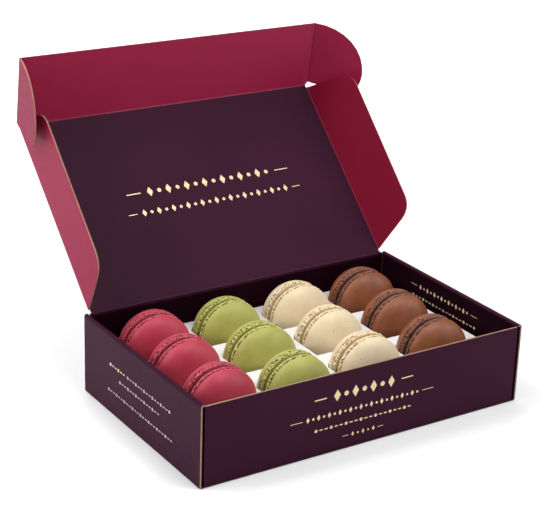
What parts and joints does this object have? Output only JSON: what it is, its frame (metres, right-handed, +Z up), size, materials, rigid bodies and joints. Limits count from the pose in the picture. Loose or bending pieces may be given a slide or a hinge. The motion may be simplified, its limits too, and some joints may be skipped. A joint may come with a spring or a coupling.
{
  "type": "box of macarons",
  "caption": "Open folding carton with a hinged lid, side flaps, tuck panel and ears, holding macarons on edge in a white pocketed insert.",
  "frame": {"origin": "middle of the carton's underside, on the surface that it stands on", "axes": "+Z up, -Y towards the front wall, +X along the carton's width to the right seen from the front"},
  "size_m": [0.2491, 0.2316, 0.1835],
  "materials": {
    "plum_board": "satin",
    "berry_board": "satin",
    "white_sheet": "matte",
    "pink_shell": "matte",
    "pink_filling": "matte",
    "green_shell": "matte",
    "green_filling": "matte",
    "cream_shell": "matte",
    "cream_filling": "matte",
    "brown_shell": "matte",
    "brown_filling": "matte"
  },
  "bodies": {
    "root": {"tray": "plum_board", "insert": "white_sheet", "pink_1_shell_front": "pink_shell", "pink_1_filling": "pink_filling", "pink_1_shell_back": "pink_shell", "pink_2_shell_front": "pink_shell", "pink_2_filling": "pink_filling", "pink_2_shell_back": "pink_shell", "pink_3_shell_front": "pink_shell", "pink_3_filling": "pink_filling", "pink_3_shell_back": "pink_shell", "green_1_shell_front": "green_shell", "green_1_filling": "green_filling", "green_1_shell_back": "green_shell", "green_2_shell_front": "green_shell", "green_2_filling": "green_filling", "green_2_shell_back": "green_shell", "green_3_shell_front": "green_shell", "green_3_filling": "green_filling", "green_3_shell_back": "green_shell", "cream_1_shell_front": "cream_shell", "cream_1_filling": "cream_filling", "cream_1_shell_back": "cream_shell", "cream_2_shell_front": "cream_shell", "cream_2_filling": "cream_filling", "cream_2_shell_back": "cream_shell", "cream_3_shell_front": "cream_shell", "cream_3_filling": "cream_filling", "cream_3_shell_back": "cream_shell", "brown_1_shell_front": "brown_shell", "brown_1_filling": "brown_filling", "brown_1_shell_back": "brown_shell", "brown_2_shell_front": "brown_shell", "brown_2_filling": "brown_filling", "brown_2_shell_back": "brown_shell", "brown_3_shell_front": "brown_shell", "brown_3_filling": "brown_filling", "brown_3_shell_back": "brown_shell"},
    "lid": {"lid_panel": "plum_board"},
    "tuck": {"tuck_panel": "berry_board"},
    "left_flap": {"flap_left": "berry_board"},
    "right_flap": {"flap_right": "berry_board"},
    "left_ear": {"ear_left": "berry_board"},
    "right_ear": {"ear_right": "berry_board"}
  },
  "joints": [
    {"name": "lid_hinge", "type": "hinge", "parent": "root", "child": "lid", "pos_m": [0, 0.068, 0.05], "axis": [1, 0, 0], "range_deg": [-43.4, 106.6]},
    {"name": "tuck_crease", "type": "hinge", "parent": "lid", "child": "tuck", "pos_m": [0, 0.16245, 0.13932], "axis": [1, 0, 0], "range_deg": [-14.32, 35.18]},
    {"name": "flap_left_crease", "type": "hinge", "parent": "lid", "child": "left_flap", "pos_m": [-0.1054, 0.11523, 0.09466], "axis": [0, 0.7266, 0.6871], "range_deg": [-4.34, 10.66]},
    {"name": "flap_right_crease", "type": "hinge", "parent": "lid", "child": "right_flap", "pos_m": [0.1054, 0.11523, 0.09466], "axis": [0, -0.7266, -0.6871], "range_deg": [-18.23, 44.77]},
    {"name": "ear_left_crease", "type": "hinge", "parent": "tuck", "child": "left_ear", "pos_m": [-0.1069, 0.15913, 0.16127], "axis": [0, -0.1495, 0.9888], "range_deg": [-1.3, 3.2]},
    {"name": "ear_right_crease", "type": "hinge", "parent": "tuck", "child": "right_ear", "pos_m": [0.1069, 0.15913, 0.16127], "axis": [0, 0.1495, -0.9888], "range_deg": [-17.36, 42.64]}
  ],
  "couplings": [
    {"joint": "tuck_crease", "follows": "lid_hinge", "ratio": 0.33},
    {"joint": "flap_left_crease", "follows": "lid_hinge", "ratio": 0.1},
    {"joint": "flap_right_crease", "follows": "lid_hinge", "ratio": 0.42},
    {"joint": "ear_left_crease", "follows": "lid_hinge", "ratio": 0.03},
    {"joint": "ear_right_crease", "follows": "lid_hinge", "ratio": 0.4}
  ]
}
